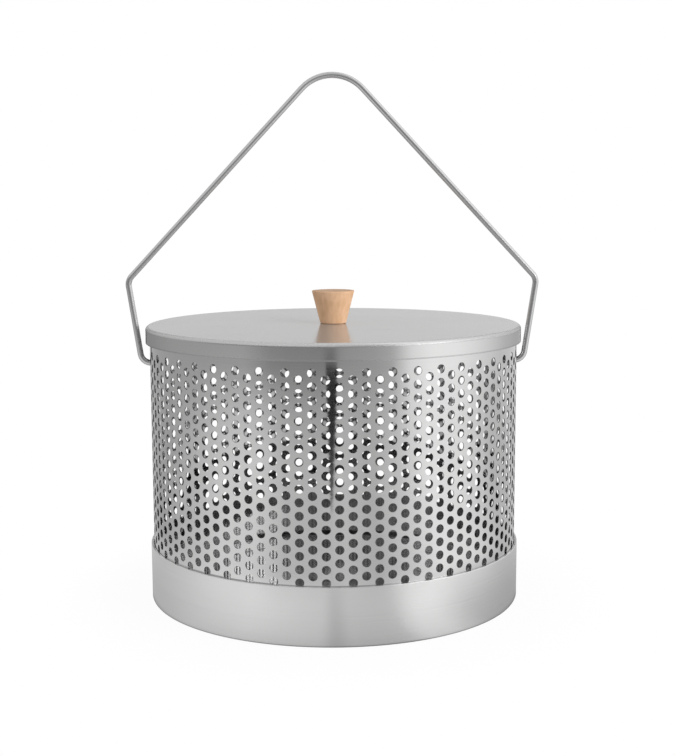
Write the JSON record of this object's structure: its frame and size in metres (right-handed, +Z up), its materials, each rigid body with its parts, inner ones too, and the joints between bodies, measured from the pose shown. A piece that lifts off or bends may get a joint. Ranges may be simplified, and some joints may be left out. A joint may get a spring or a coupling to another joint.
{
  "type": "perforated charcoal bucket",
  "caption": "Perforated steel charcoal bucket in a solid base pan, with a flat lid, a wooden lid knob and a swinging wire bail.",
  "frame": {"origin": "centre of the foot ring, on the ground", "axes": "+Z up along the bucket's axis, X along the bail's pivot line, Y front to back"},
  "size_m": [0.272, 0.2462, 0.3426],
  "materials": {
    "base_pan": "brushed round the band",
    "perforated_wall": "half polished",
    "lid": "satin",
    "lid_knob": "turned beech, oiled",
    "knob_insert": "machined",
    "knob_screw": "bright",
    "knob_washer": "bright",
    "bail_handle": "drawn wire"
  },
  "bodies": {
    "bucket": {"base_pan": "base_pan", "perforated_wall": "perforated_wall"},
    "lid_assembly": {"lid": "lid", "lid_knob": "lid_knob", "knob_insert": "knob_insert", "knob_screw": "knob_screw", "knob_washer": "knob_washer"},
    "bail": {"bail_handle": "bail_handle"}
  },
  "joints": [
    {"name": "bail_swing", "type": "hinge", "parent": "bucket", "child": "bail", "pos_m": [0, 0, 0.1545], "axis": [1, 0, 0], "range_deg": [-122, 122]},
    {"name": "lid_lift", "type": "slide", "parent": "bucket", "child": "lid_assembly", "axis": [0, 0, 1], "range_m": [0, 0.03]}
  ]
}
